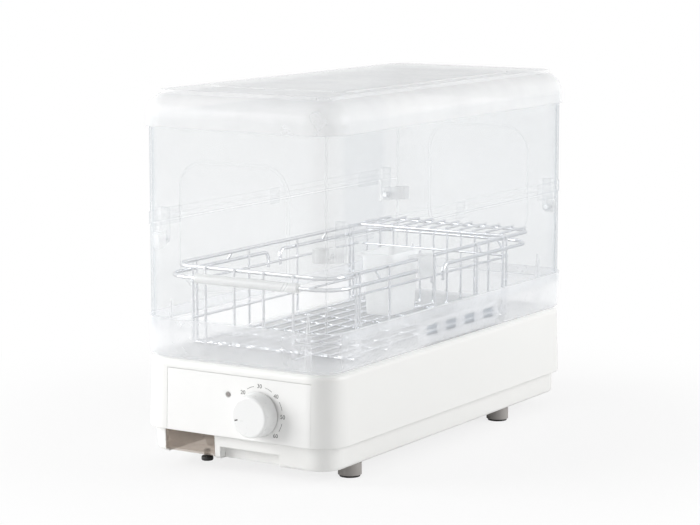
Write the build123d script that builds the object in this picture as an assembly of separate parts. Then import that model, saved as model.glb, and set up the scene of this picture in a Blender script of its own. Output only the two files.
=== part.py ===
"""Slim countertop dish dryer: warm-air base, drip tray, wire rack and clear walls with a hinged lid.

Front faces -Y, +X is to the right, +Z is up. Sizes are in millimetres.
"""
import math
import os

from build123d import *

# Overall plan and heights
wall_width = 220.0
wall_depth = 478.0
wall_corner = 28.0
wall_thick = 2.2
foot_height = 14.0
skirt_height = 24.0
base_height = 69.6
band_height = 39.6
lower_wall_height = 88.4
lid_side_height = 95.4
cap_height = 35.0

# Clearances shared by all fits
seat_gap = 0.3
side_gap = 0.4
bore_gap = 0.06
weld_gap = 0.05
overrun = 1.0

# Base housing
base_wall = 2.5
base_flare = 2.3
base_round = 6.0
boss_radius = 4.5
boss_side_inset = 26.0
boss_bay_gap = 11.4
boss_rear_inset = 17.0

# Bottom cover
skirt_inset = 4.2
skirt_draft = 0.8
skirt_round = 3.5
cover_thick = 2.4
flange_thick = 2.2

# Feet
foot_radius = 11.5
foot_side_inset = 18.0
foot_front_inset = 62.0
foot_rear_inset = 121.0
foot_bay_gap = 24.0
pad_thick = 2.0
pad_rim = 1.5

# Screws
screw_radius = 1.5
screw_head_radius = 3.2
screw_head_height = 1.8
screw_bite = 14.0

# Control panel on the front
panel_left_inset = 33.0
panel_right_inset = 22.0
panel_top_inset = 9.0
panel_thick = 1.2

# Timer knob, shaft and case
dial_inset = 57.5
dial_rise = 26.6
knob_radius = 21.5
knob_nose_radius = 19.8
knob_length = 17.0
knob_round = 2.6
knob_lift = 0.6
knob_skin = 2.4
knob_hub_radius = 6.0
shaft_radius = 3.0
shaft_neck_radius = 5.0
shaft_bury = 10.0
timer_width = 46.0
timer_height = 40.0
timer_length = 26.0

# Power lamp
lamp_offset = 35.9
lamp_lift = 15.1
lens_radius = 2.0
lens_rise = 0.5
lens_length = 7.0
lamp_radius = 3.0
lamp_length = 14.0

# Drain bay, cup and plug
bay_inset = 26.0
bay_width = 58.5
bay_depth = 66.0
bay_wall = 1.6
rail_width = 2.6
rail_thick = 1.8
cup_wall = 1.6
cup_rib = 1.2
cup_rib_rise = 0.8
rib_height_shares = (0.12, 0.42, 0.94)
drain_inset = 34.0
plug_side_inset = 15.5
plug_inset = 14.0
plug_stem_radius = 3.1
plug_neck = 3.4
plug_disc_radius = 5.8
plug_disc_thick = 4.4
plug_disc_round = 1.2
plug_stem_rise = 1.4

# Drain pipe from the tray to the cup
pipe_inner = 7.4
pipe_wall = 1.6
spout_inner = 5.0
spout_wall = 1.5
spout_length = 7.0

# Finger notch in the skirt
notch_gap = 6.2
notch_width = 68.6
notch_height = 12.0
notch_depth = 14.0

# Fan, motor and duct
fan_rear_inset = 93.0
fan_radius = 56.0
fan_blades = 22
fan_blade_thick = 1.4
fan_blade_depth = 13.0
fan_blade_tilt = 24.0
fan_disc_thick = 1.8
fan_gap = 4.0
hub_radius = 8.0
spindle_radius = 2.5
scroll_wall = 2.0
scroll_gap = 8.0
scroll_lift = 19.4
scroll_leg_radius = 4.0
inlet_radius = 42.0
duct_left_margin = 59.4
duct_width = 60.0
neck_wall = 1.2
motor_radius = 30.0
motor_height = 21.0
motor_head_room = 6.3
motor_side_gap = 10.0
motor_cap_radius = 12.0
motor_clear = 7.0
bracket_thick = 2.0
bracket_width = 26.0
bracket_reach = 40.0

# Warm-air outlet and heater
outlet_side_inset = 5.8
outlet_width = 4.8
outlet_fan_gap = 58.0
outlet_length_share = 0.30126
heater_height = 18.0
heater_rim = 5.0
heater_fins = 14
heater_fin_thick = 2.4
heater_drop = 14.0
thermostat_radius = 8.0
thermostat_height = 7.0
fuse_radius = 2.0
fuse_length = 13.0

# Intake grille and filter
grille_radius = 45.0
grille_rim = 4.0
grille_bar = 3.0
grille_bars = 9
filter_thick = 3.0

# Terminal block and cord bushing
terminal_length = 34.0
terminal_width = 15.0
terminal_height = 13.0
terminal_side_inset = 38.0
terminal_fan_gap = 30.0
bushing_side_inset = 38.0
bushing_rise = 20.0
bushing_radius = 6.0
bushing_flange_radius = 9.0
bushing_flange_thick = 2.5
bushing_sleeve = 12.0
bushing_bore = 3.8

# Drip tray
tray_flare_low = 0.5
tray_flare_high = 2.5
tray_wall = 2.2
tray_round = 5.0
ledge_depth = 9.5
ledge_thick = 2.6
ledge_inset = 4.2
post_radius = 4.2
post_tip_radius = 1.0
post_height = 53.0
post_side_inset = 31.0
post_rear_inset = 47.0
post_inset = 9.5

# Air hood in the tray
hood_wall = 1.2
hood_margin = 1.2
hood_end_margin = 5.0
hood_height = 23.5
window_count = 4
window_height = 11.0
window_rise = 7.0
louvre_thick = 1.4

# Clear walls
panel_lap = 11.0
emboss_side_inset = 49.0
emboss_rise = 29.8
emboss_drop = 32.0
emboss_corner = 27.0
emboss_depth = 1.0
socket_span = 22.0
socket_depth = 10.0
socket_height = 14.0
socket_drop = 23.1

# Lid hinge
pivot_inset = 8.5
pivot_rise = 6.5
pin_radius = 2.5
pin_play = 0.3
pin_length = 17.0
ear_width = 5.5
ear_radius = 4.6
ear_rise = 14.0
ear_slot_drop = 8.0
lid_seam = 1.5

# Lid sides
lip_height = 11.0
lip_rise = 1.0
lip_groove = 1.0
lip_groove_height = 4.3
grip_thick = 2.0
grip_drop = 5.3
grip_near_inset = 72.0
grip_far_inset = 30.0
catch_half = 8.0

# Lid cap
cap_overhang = 3.0
cap_skirt = 10.0
cap_step = 1.5
cap_plate_inset = 11.5
cap_panel_side_inset = 32.0
cap_panel_end_inset = 74.0
cap_panel_corner = 12.0
cap_groove = 2.6
cap_groove_depth = 1.0
rib_thick = 1.6
rib_reach = 12.0
rib_tooth = 8.0
rib_middle_y = 7.0
rib_corner_inset = 35.0
rib_end_inset = 32.0

# Rack wires
rim_radius = 2.0
thin_radius = 1.3
weld_sink = 0.4
rim_side_inset = 18.0
rim_front_inset = 30.3
rim_rear_inset = 46.0
rim_corner = 20.0
rim_rise = 83.9
loop_drop = 10.0
loop_end_drop = 16.0
rear_loop_inset = 59.0
mid_drop = 20.5
rail_rise = 26.0
rack_bend = 4.0
rack_leg = 9.0
side_first_inset = 37.7
side_last_inset = 11.5
side_end = 6.0
left_wire_shares = (0.0, 0.0217, 0.3272, 0.6277, 0.9766, 1.0)
right_wire_shares = (0.0, 0.0217, 0.2037, 0.4975, 0.7880, 0.9766, 1.0)
junction_y = -22.0
junction_half = 11.0
loop_bend = 7.0
rear_side_inset = 99.0
line_wires = 11
line_side_inset = 7.5
front_lines = (2, 4, 6, 8)
link_radius = 1.2
right_link_shares = (0.132, 0.808, 0.95)
left_link_shares = (0.214, 0.808)
grip_side_inset = 32.5
grip_tube_radius = 4.8

# Cutlery cup
cutlery_side_gap = 2.5
cutlery_width = 35.5
cutlery_front_inset = 110.7
cutlery_length = 58.0
cutlery_floor_gap = 27.2
cutlery_rise = 9.0
cutlery_wall = 1.6
cutlery_flange = 3.0
cutlery_taper = 3.0
cutlery_corner = 7.0
cutlery_hole_radius = 2.5
drain_row_shares = (0.25, 0.5, 0.75)
hook_setback = 33.0
hook_thick = 2.2
hook_drop = 20.0

# Heights and planes that follow
seam_z = foot_height + skirt_height
base_top_z = seam_z + base_height
band_top_z = base_top_z + band_height
lip_z = band_top_z + lower_wall_height
cap_z = lip_z + lid_side_height
top_z = cap_z + cap_height
floor_z = foot_height + cover_thick
half_width = wall_width / 2
half_depth = wall_depth / 2
split_y = half_depth - wall_corner * (1 - math.sqrt(0.5))
tray_low_z = base_top_z + seat_gap
tray_floor_z = tray_low_z + tray_wall
ledge_z = band_top_z - ledge_depth
wall_low_z = ledge_z + seat_gap
wall_high_z = cap_z + panel_lap
pivot_x = half_width - pivot_inset
ear_y = half_depth - wall_corner
socket_low = lip_z - socket_drop
pivot_z = socket_low + pivot_rise

# Places in the base that follow
bay_left = -half_width + bay_inset
bay_right = bay_left + bay_width
bay_back = -half_depth + bay_depth
drain_x = (bay_left + bay_right) / 2
drain_y = -half_depth + drain_inset
plug_x = bay_right - plug_side_inset
plug_y = -half_depth + plug_inset
notch_left = bay_right + notch_gap
notch_right = notch_left + notch_width
panel_left = -half_width + panel_left_inset
panel_right = half_width - panel_right_inset
panel_high = base_top_z - panel_top_inset
dial_x = panel_right - dial_inset
dial_z = seam_z + dial_rise
lamp_x = dial_x - lamp_offset
lamp_z = dial_z + lamp_lift
boss_x = half_width - boss_side_inset
boss_front_y = bay_back + bay_wall + boss_bay_gap
boss_rear_y = half_depth - boss_rear_inset
foot_x = half_width - foot_side_inset
foot_front_y = -half_depth + foot_front_inset
foot_bay_y = bay_back + bay_wall + foot_radius + foot_bay_gap
foot_rear_y = half_depth - foot_rear_inset
outlet_right = half_width - outlet_side_inset
outlet_left = outlet_right - outlet_width
duct_left = outlet_left - duct_left_margin
duct_right = duct_left + duct_width
fan_x = duct_left - motor_side_gap - motor_radius
fan_y = half_depth - fan_rear_inset
outlet_rear = fan_y - outlet_fan_gap
outlet_front = outlet_rear - wall_depth * outlet_length_share
scroll_low_z = floor_z + scroll_lift
scroll_radius = fan_radius + scroll_gap
fan_low_z = scroll_low_z + scroll_wall + fan_gap
motor_low_z = base_top_z - base_wall - motor_head_room - motor_height
scroll_high_z = motor_low_z - bracket_thick
fan_height = scroll_high_z - scroll_wall - fan_gap - fan_low_z
terminal_x = -half_width + terminal_side_inset
terminal_y = fan_y - scroll_radius - terminal_fan_gap
bushing_x = -half_width + bushing_side_inset
bushing_z = seam_z + bushing_rise

# Places in the rack that follow
rim_half = half_width - rim_side_inset
rim_front = half_depth - rim_front_inset
rim_rear = half_depth - rim_rear_inset
rear_side_y = half_depth - rear_side_inset
cross_z = tray_floor_z + seat_gap + thin_radius
long_z = cross_z + 2 * thin_radius - weld_sink
rim_z = tray_floor_z + rim_rise
loop_z = rim_z - loop_drop
loop_end_z = loop_z - loop_end_drop
mid_z = rim_z - mid_drop
rail_z = tray_floor_z + rail_rise
short_z = rim_z + rim_radius + thin_radius + weld_gap
side_first_y = -rim_front + side_first_inset
side_last_y = rear_side_y - side_last_inset
line_last_x = rim_half - line_side_inset
grip_half = rim_half - grip_side_inset
upright = rim_half + rim_radius + thin_radius + weld_gap
upright_front = rim_front + rim_radius + thin_radius + weld_gap
loop_half = upright + thin_radius + rim_radius + weld_gap
loop_front = upright_front + thin_radius + rim_radius + weld_gap
cutlery_right = rim_half - cutlery_side_gap
cutlery_left = cutlery_right - cutlery_width
cutlery_front = -rim_front + cutlery_front_inset
cutlery_rear = cutlery_front + cutlery_length
cutlery_low = long_z + thin_radius + cutlery_floor_gap
cutlery_high = rim_z + cutlery_rise


# Shared shapes
def plan(inset, z):
    """Rounded plan of the walls, drawn in by inset, at height z."""
    outline = RectangleRounded(wall_width - 2 * inset, wall_depth - 2 * inset, wall_corner - inset)
    return Pos(0, 0, z) * outline


def prism(inset, low, high):
    return extrude(plan(inset, low), high - low)


def drafted(inset_low, low, inset_high, high):
    return loft([plan(inset_low, low).face(), plan(inset_high, high).face()], ruled=True)


def ring(outer, inner, low, high):
    return prism(outer, low, high) - prism(inner, low, high)


def span(x0, x1, y0, y1, z0, z1):
    """Box between two corners."""
    centre = Pos((x0 + x1) / 2, (y0 + y1) / 2, (z0 + z1) / 2)
    return centre * Box(x1 - x0, y1 - y0, z1 - z0)


def rod(radius, start, end):
    """Round bar between two points."""
    run = Vector(*end) - Vector(*start)
    return Plane(origin=start, z_dir=run) * extrude(Circle(radius), run.length)


def post(radius, x, y, low, high):
    return rod(radius, (x, y, low), (x, y, high))


def level(radius, x, z, start, end):
    """Round bar from front to rear."""
    return rod(radius, (x, start, z), (x, end, z))


def wire(radius, points, bend):
    """Bent round wire along straight runs joined by arcs."""
    path = FilletPolyline(*points, radius=bend)
    section = Plane(origin=path @ 0, z_dir=path % 0) * Circle(radius)
    return sweep(section, path=path)


def fuse(pieces):
    """Joins pieces that touch or overlap into one."""
    whole = pieces[0]
    return whole.fuse(*pieces[1:]) if len(pieces) > 1 else whole


def group(pieces):
    """Keeps like pieces apart as separate solids of one node."""
    return Compound([solid for piece in pieces for solid in piece.solids()])


def both_sides(piece):
    return [piece, mirror(piece, about=Plane.YZ)]


def four_corners(piece):
    pair = both_sides(piece)
    return pair + [mirror(one, about=Plane.XZ) for one in pair]


def flare_at(z):
    """How far the base's outside stands proud of the walls' plan at height z."""
    return base_flare * (base_top_z - z) / base_height


def front_at(z):
    """The base's front face at height z."""
    return -half_depth - flare_at(z)


# Base
def base_form(inset):
    return drafted(inset - base_flare, seam_z, inset, base_top_z)


def panel_zone(gap, close):
    """Front area of the panel, grown by gap at the left and top and by close at the right."""
    return span(panel_left - gap, panel_right + close, -wall_depth, 0, seam_z, panel_high + gap)


def screw_places():
    return [(side * boss_x, y) for side in (-1, 1) for y in (boss_front_y, boss_rear_y)]


def base_housing():
    outside = base_form(0)
    shell = fillet(outside.faces().sort_by(Axis.Z)[-1].edges(), base_round)
    shell -= drafted(base_wall - base_flare, seam_z, base_wall, base_top_z - base_wall)
    recess = base_form(-overrun) - base_form(panel_thick)
    shell -= recess & panel_zone(seat_gap, weld_gap)
    dial_hole = level(shaft_neck_radius + side_gap, dial_x, dial_z, -wall_depth, -half_depth / 2)
    lamp_hole = level(lens_radius + side_gap, lamp_x, lamp_z, -wall_depth, -half_depth / 2)
    cord_hole = level(bushing_radius + bore_gap, bushing_x, bushing_z, half_depth / 2, wall_depth)
    outlet = span(outlet_left, outlet_right, outlet_front, outlet_rear, base_top_z - base_height / 2, top_z)
    drain_radius = spout_inner + spout_wall + 2 * side_gap
    drain = post(drain_radius, drain_x, drain_y, base_top_z - 2 * base_wall, top_z)
    return shell - [dial_hole, lamp_hole, cord_hole, outlet, drain]


def screw_posts():
    posts = []
    for x, y in screw_places():
        boss = post(boss_radius, x, y, floor_z, base_top_z - base_wall)
        posts.append(boss - post(screw_radius + bore_gap, x, y, floor_z, floor_z + screw_bite + overrun))
    return group(posts)


def bay_liner():
    """Outside block of the drain bay, behind the skirt."""
    skirt_face = -half_depth + skirt_inset + cover_thick
    return span(bay_left - bay_wall, bay_right + bay_wall, skirt_face, bay_back + bay_wall,
                foot_height, seam_z + flange_thick)


def bay_hollow():
    return span(bay_left, bay_right, -wall_depth, bay_back, 0, seam_z)


def drain_bay():
    body = bay_liner() - bay_hollow()
    skirt_face = -half_depth + skirt_inset + cover_thick
    for left in (bay_left, bay_right - rail_width):
        body += span(left, left + rail_width, skirt_face, bay_back, foot_height, foot_height + rail_thick)
    return body - post(pipe_inner + pipe_wall + seat_gap, drain_x, drain_y, seam_z - overrun, base_top_z)


def base_bottom():
    body = drafted(skirt_inset + skirt_draft, foot_height, skirt_inset, seam_z)
    body = fillet(body.faces().sort_by(Axis.Z)[0].edges(), skirt_round)
    rim_inset = base_wall - base_flare + seat_gap
    body += prism(rim_inset, seam_z, seam_z + flange_thick)
    wall_inset = skirt_inset + skirt_draft + cover_thick
    body -= prism(wall_inset, floor_z, seam_z + flange_thick + overrun)
    body -= [bay_liner(), bay_hollow()]
    skirt_face = -half_depth + skirt_inset + cover_thick
    notch_back = -half_depth + notch_depth
    notch_top = foot_height + notch_height
    body += span(notch_left - bay_wall, notch_right + bay_wall, skirt_face, notch_back + bay_wall,
                 foot_height, notch_top + bay_wall)
    body -= span(notch_left, notch_right, -wall_depth, notch_back, 0, notch_top)
    body -= post(grille_radius, fan_x, fan_y, 0, floor_z + overrun)
    for x, y in screw_places():
        body -= post(screw_radius + side_gap, x, y, 0, floor_z + overrun)
    return body


def control_panel():
    plate = (base_form(0) - base_form(panel_thick)) & panel_zone(0, 0)
    dial_hole = level(shaft_radius + seat_gap, dial_x, dial_z, -wall_depth, 0)
    lamp_hole = level(lens_radius + bore_gap, lamp_x, lamp_z, -wall_depth, 0)
    return plate - [dial_hole, lamp_hole]


def lamp_lens():
    face = front_at(lamp_z)
    body = level(lens_radius, lamp_x, lamp_z, face - lens_rise, face + lens_length)
    return fillet(body.edges().sort_by(Axis.Y)[0], lens_rise)


def power_lamp():
    start = front_at(lamp_z) + lens_length
    body = level(lamp_radius, lamp_x, lamp_z, start, start + lamp_length)
    return fillet(body.edges().sort_by(Axis.Y)[-1], lamp_radius / 2)


def timer_face():
    """Front plane of the timer case, just behind the housing's wall."""
    return front_at(dial_z + timer_height / 2) + base_wall + seat_gap


def timer_case():
    face = timer_face()
    case = span(dial_x - timer_width / 2, dial_x + timer_width / 2, face, face + timer_length,
                dial_z - timer_height / 2, dial_z + timer_height / 2)
    case = fillet(case.edges().filter_by(Axis.Y), shaft_radius)
    neck = level(shaft_neck_radius, dial_x, dial_z, front_at(dial_z) + panel_thick + seat_gap, face)
    bore_end = face + timer_length - base_wall
    return case + neck - level(shaft_radius + bore_gap, dial_x, dial_z, -wall_depth, bore_end)


def knob_faces():
    """Rear and front planes of the knob."""
    rear = front_at(dial_z - knob_radius) - knob_lift
    return rear, rear - knob_length


def timer_shaft():
    rear = knob_faces()[0]
    end = timer_face() + timer_length - base_wall - seat_gap
    return level(shaft_radius, dial_x, dial_z, rear - shaft_bury, end)


def timer_knob():
    rear, nose = knob_faces()
    seat = Plane(origin=(dial_x, rear, dial_z), z_dir=(0, -1, 0))
    nose_seat = Plane(origin=(dial_x, nose, dial_z), z_dir=(0, -1, 0))
    body = loft([(seat * Circle(knob_radius)).face(), (nose_seat * Circle(knob_nose_radius)).face()])
    body = fillet(body.edges().sort_by(Axis.Y)[0], knob_round)
    hollow = level(knob_nose_radius - knob_skin, dial_x, dial_z, nose + 2 * knob_skin, rear + overrun)
    hub = level(knob_hub_radius, dial_x, dial_z, nose + knob_skin, rear)
    bore = level(shaft_radius + bore_gap, dial_x, dial_z, rear - shaft_bury - seat_gap, rear + overrun)
    return body - hollow + hub - bore


def foot_places():
    """The front left foot stands behind the drain bay."""
    return [(-foot_x, foot_bay_y), (foot_x, foot_front_y), (-foot_x, foot_rear_y), (foot_x, foot_rear_y)]


def feet():
    return group([post(foot_radius, x, y, pad_thick, foot_height) for x, y in foot_places()])


def foot_pads():
    return group([post(foot_radius - pad_rim, x, y, 0, pad_thick) for x, y in foot_places()])


def case_screws():
    screws = []
    for x, y in screw_places():
        head = post(screw_head_radius, x, y, foot_height - screw_head_height, foot_height)
        screws.append(head + post(screw_radius, x, y, foot_height, floor_z + screw_bite))
    return group(screws)


# Drain
def drain_cup():
    face = -half_depth + skirt_inset + seat_gap
    back = bay_back - side_gap
    low = foot_height + rail_thick + seat_gap
    high = seam_z - seat_gap
    left = bay_left + side_gap
    right = bay_right - side_gap
    cup = span(left, right, face, back, low, high)
    cup -= span(left + cup_wall, right - cup_wall, face + cup_wall, back - cup_wall,
                low + cup_wall, high + overrun)
    height = high - low
    for share in rib_height_shares:
        z = low + height * share
        cup += span(left, right, face - cup_rib_rise, face, z - cup_rib / 2, z + cup_rib / 2)
    return cup - post(plug_stem_radius + bore_gap, plug_x, plug_y, low - overrun, low + cup_wall + overrun)


def drain_plug():
    low = foot_height + rail_thick + seat_gap
    disc_high = low - plug_neck
    disc_low = disc_high - plug_disc_thick
    stem = post(plug_stem_radius, plug_x, plug_y, disc_high, low + cup_wall + plug_stem_rise)
    disc = fillet(post(plug_disc_radius, plug_x, plug_y, disc_low, disc_high).edges(), plug_disc_round)
    return fuse([disc, stem])


def drain_pipe():
    low = seam_z + seat_gap
    high = base_top_z - base_wall
    outer = post(pipe_inner + pipe_wall, drain_x, drain_y, low, high)
    return outer - post(pipe_inner, drain_x, drain_y, low - overrun, high + overrun)


# Fan and heater
def duct_zone(inset):
    return span(duct_left + inset, duct_right - inset, outlet_front - heater_rim + inset, fan_y,
                scroll_low_z + inset, base_top_z - base_wall - inset)


def fan_scroll():
    drum = post(scroll_radius + scroll_wall, fan_x, fan_y, scroll_low_z, scroll_high_z)
    body = drum + duct_zone(0)
    body -= post(scroll_radius, fan_x, fan_y, scroll_low_z + scroll_wall, scroll_high_z - scroll_wall)
    neck_low = base_top_z - heater_height
    body += span(duct_right - scroll_wall, outlet_right + neck_wall, outlet_front - neck_wall,
                 outlet_rear + neck_wall, neck_low - neck_wall, base_top_z - base_wall - neck_wall)
    body -= duct_zone(scroll_wall)
    body -= post(inlet_radius, fan_x, fan_y, scroll_low_z - overrun, scroll_low_z + scroll_wall + overrun)
    motor_side = scroll_high_z - scroll_wall
    body -= post(motor_cap_radius, fan_x, fan_y, motor_side - overrun, scroll_high_z + overrun)
    body -= span(outlet_left - scroll_wall, outlet_right, outlet_front, outlet_rear, neck_low, top_z)
    for turn in range(4):
        angle = math.radians(45 + 90 * turn)
        x = fan_x + (scroll_radius - scroll_leg_radius) * math.cos(angle)
        y = fan_y + (scroll_radius - scroll_leg_radius) * math.sin(angle)
        body += post(scroll_leg_radius, x, y, floor_z, scroll_low_z + scroll_wall)
    return body


def fan_wheel():
    low = fan_low_z
    high = low + fan_height
    disc = post(fan_radius, fan_x, fan_y, high - fan_disc_thick, high)
    hub = post(hub_radius, fan_x, fan_y, low + fan_height / 2, high)
    band = post(fan_radius, fan_x, fan_y, low, low + fan_disc_thick)
    band -= post(fan_radius - fan_blade_depth, fan_x, fan_y, low - overrun, low + fan_disc_thick + overrun)
    plate = Box(fan_blade_depth - 2 * weld_sink, fan_blade_thick, fan_height - fan_disc_thick)
    place = Pos(fan_radius - fan_blade_depth / 2 - weld_sink, 0, low + fan_height / 2)
    blade = place * Rot(0, 0, fan_blade_tilt) * plate
    middle = Pos(fan_x, fan_y, 0)
    blades = [middle * Rot(0, 0, 360 * turn / fan_blades) * blade for turn in range(fan_blades)]
    wheel = fuse([disc, hub, band] + blades)
    return wheel - post(spindle_radius + bore_gap, fan_x, fan_y, low - overrun, high + overrun)


def motor_spindle():
    high = motor_low_z + motor_height - bracket_thick
    return post(spindle_radius, fan_x, fan_y, fan_low_z + fan_height / 2, high)


def fan_motor():
    high = motor_low_z + motor_height
    can = post(motor_radius, fan_x, fan_y, motor_low_z, high)
    can = fillet(can.edges().sort_by(Axis.Z)[-1], bracket_thick)
    bore_top = high - bracket_thick + seat_gap
    return can - post(spindle_radius + bore_gap, fan_x, fan_y, motor_low_z - overrun, bore_top)


def motor_screw_xs():
    return [fan_x + side * (bracket_reach - screw_head_radius) for side in (-1, 1)]


def motor_bracket():
    plate = span(fan_x - bracket_reach, fan_x + bracket_reach,
                 fan_y - bracket_width / 2, fan_y + bracket_width / 2, scroll_high_z, motor_low_z)
    plate -= post(motor_clear, fan_x, fan_y, scroll_high_z - overrun, motor_low_z + overrun)
    for x in motor_screw_xs():
        plate -= post(screw_radius + bore_gap, x, fan_y, scroll_high_z - overrun, motor_low_z + overrun)
    return plate


def motor_screws():
    return group([post(screw_head_radius, x, fan_y, motor_low_z, motor_low_z + screw_head_height)
                  + post(screw_radius, x, fan_y, scroll_high_z, motor_low_z) for x in motor_screw_xs()])


def heater_element():
    left = duct_left + scroll_wall + seat_gap
    right = duct_right - scroll_wall - seat_gap
    high = base_top_z - heater_drop - base_wall
    front = outlet_front
    rear = outlet_rear
    frame = span(left, right, front, rear, high - heater_height, high)
    frame -= span(left + heater_rim, right - heater_rim, front + heater_rim, rear - heater_rim, 0, top_z)
    pitch = (rear - front - 2 * heater_rim) / (heater_fins + 1)
    fins = []
    for count in range(heater_fins):
        y = front + heater_rim + pitch * (count + 1)
        fins.append(span(left + heater_rim / 2, right - heater_rim / 2,
                         y - heater_fin_thick / 2, y + heater_fin_thick / 2,
                         high - heater_height + heater_fin_thick, high - heater_fin_thick))
    return fuse([frame] + fins)


def thermostat():
    z = scroll_low_z + heater_height + thermostat_radius
    y = (outlet_front + outlet_rear) / 4
    body = rod(thermostat_radius, (duct_left - thermostat_height, y, z), (duct_left, y, z))
    return fillet(body.edges().sort_by(Axis.X)[0], fuse_radius / 2)


def thermal_fuse():
    z = scroll_low_z + heater_height + thermostat_radius
    y = outlet_front + fuse_length
    return level(fuse_radius, duct_left - fuse_radius, z, y - fuse_length / 2, y + fuse_length / 2)


# Intake, terminals and cord
def intake_grille():
    plate = post(grille_radius - seat_gap, fan_x, fan_y, foot_height, floor_z)
    inner = post(grille_radius - grille_rim, fan_x, fan_y, foot_height - overrun, floor_z + overrun)
    pitch = 2 * (grille_radius - grille_rim) / (grille_bars + 1)
    bars = []
    for count in range(grille_bars):
        y = fan_y - grille_radius + grille_rim + pitch * (count + 1)
        bar = span(fan_x - grille_radius, fan_x + grille_radius, y - grille_bar / 2, y + grille_bar / 2,
                   foot_height, floor_z)
        bars.append(bar & plate)
    return fuse([plate - inner] + bars)


def intake_filter():
    return post(grille_radius - grille_rim / 2, fan_x, fan_y, floor_z, floor_z + filter_thick)


def terminal_block():
    high = floor_z + terminal_height
    body = span(terminal_x - terminal_length / 2, terminal_x + terminal_length / 2,
                terminal_y - terminal_width / 2, terminal_y + terminal_width / 2, floor_z, high)
    pitch = terminal_length / 4
    for count in range(3):
        x = terminal_x + pitch * (count - 1)
        body -= post(screw_head_radius, x, terminal_y, high - terminal_height / 2, high + overrun)
    return body


def bushing_end():
    return -front_at(bushing_z) + bushing_sleeve


def cord_bushing():
    wall = -front_at(bushing_z - bushing_flange_radius)
    inside = wall - base_wall - bushing_flange_thick * 2
    body = level(bushing_radius, bushing_x, bushing_z, inside, bushing_end())
    body += level(bushing_flange_radius, bushing_x, bushing_z, wall, wall + bushing_flange_thick)
    return body - level(bushing_bore, bushing_x, bushing_z, 0, wall_depth)


# Drip tray
def tray_flare_at(z):
    share = (z - tray_low_z) / (band_top_z - tray_low_z)
    return tray_flare_low + (tray_flare_high - tray_flare_low) * share


def post_places():
    front_y = half_depth - post_inset
    side_x = half_width - post_inset
    end_x = half_width - post_side_inset
    side_y = half_depth - post_rear_inset
    places = [(side * end_x, end * front_y) for side in (-1, 1) for end in (-1, 1)]
    return places + [(side * side_x, side_y) for side in (-1, 1)]


def drip_tray():
    body = drafted(-tray_flare_low, tray_low_z, -tray_flare_high, band_top_z)
    body = fillet(body.faces().sort_by(Axis.Z)[0].edges(), tray_round)
    floor_inset = tray_wall - tray_flare_at(tray_floor_z)
    body -= drafted(floor_inset, tray_floor_z, tray_wall - tray_flare_high, band_top_z)
    ledge_low = ledge_z - ledge_thick
    body += ring(weld_sink - tray_flare_at(ledge_low), ledge_inset, ledge_low, ledge_z)
    body -= prism(-seat_gap, ledge_z, band_top_z + overrun)
    for x, y in post_places():
        foot = Pos(x, y, tray_floor_z - weld_sink) * Circle(post_radius)
        tip = Pos(x, y, tray_floor_z + post_height) * Circle(post_tip_radius)
        body += loft([foot.face(), tip.face()])
    body -= span(outlet_left, outlet_right, outlet_front, outlet_rear, 0, top_z)
    body += post(spout_inner + spout_wall, drain_x, drain_y, tray_low_z - spout_length, tray_floor_z)
    return body - post(spout_inner, drain_x, drain_y, 0, top_z)


def air_hood():
    left = outlet_left - hood_margin
    right = outlet_right + hood_margin
    front = outlet_front - hood_end_margin
    rear = outlet_rear + hood_end_margin
    high = tray_floor_z + hood_height
    body = span(left, right, front, rear, tray_floor_z, high)
    body = fillet(body.edges().filter_by(Axis.Z), hood_wall)
    body -= span(left + hood_wall, right - hood_wall, front + hood_wall, rear - hood_wall,
                 0, high - hood_wall)
    pitch = (rear - front) / window_count
    low = tray_floor_z + window_rise
    for count in range(window_count):
        middle = front + pitch * (count + 1 / 2)
        window = span(left - overrun, right + overrun, middle - pitch / 3, middle + pitch / 3,
                      low, low + window_height)
        slat = low + window_height / 2
        bar = span(left - overrun, right + overrun, middle - pitch / 3, middle + pitch / 3,
                   slat - louvre_thick / 2, slat + louvre_thick / 2)
        body -= window - bar
    return body


# Clear walls
def end_zone(gap):
    """Everything in front of the corner seam at the front."""
    return span(-wall_width, wall_width, -wall_depth, -split_y - gap, 0, 2 * top_z)


def side_zone(gap):
    """Everything on the right between the two corner seams."""
    return span(half_width / 2, wall_width, -split_y + gap, split_y - gap, 0, 2 * top_z)


def emboss(plane_y, grow, depth):
    """Rounded block of the embossed field, from plane_y inward by depth."""
    low = band_top_z + emboss_rise
    high = cap_z - emboss_drop
    half = half_width - emboss_side_inset
    field = RectangleRounded(2 * (half + grow), high - low + 2 * grow, emboss_corner + grow)
    seat = Plane(origin=(0, plane_y, (low + high) / 2), x_dir=(1, 0, 0), z_dir=(0, 1, 0))
    return extrude(seat * field, depth)


def front_panel():
    body = ring(0, wall_thick, wall_low_z, wall_high_z) & end_zone(side_gap / 2)
    straight = half_width - wall_corner
    for side in (-1, 1):
        edge = [side * straight, side * wall_width]
        body -= span(min(edge), max(edge), -wall_depth, 0, cap_z - side_gap, top_z)
    body += emboss(-half_depth, wall_thick, wall_thick + emboss_depth)
    return body - emboss(-half_depth - overrun, 0, overrun + emboss_depth)


def rear_panel():
    return mirror(front_panel(), about=Plane.XZ)


def ear_zone(margin, low, high):
    """Right-hand ear slot near the front corner, grown by margin."""
    return span(half_width / 2, wall_width, -ear_y - margin, -ear_y + ear_width + margin, low, high)


def right_wall():
    body = ring(0, wall_thick, wall_low_z, lip_z - lid_seam) & side_zone(side_gap / 2)
    slot = ear_zone(side_gap, pivot_z - ear_slot_drop, top_z)
    return body - [slot, mirror(slot, about=Plane.XZ)]


def left_wall():
    return mirror(right_wall(), about=Plane.YZ)


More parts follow.
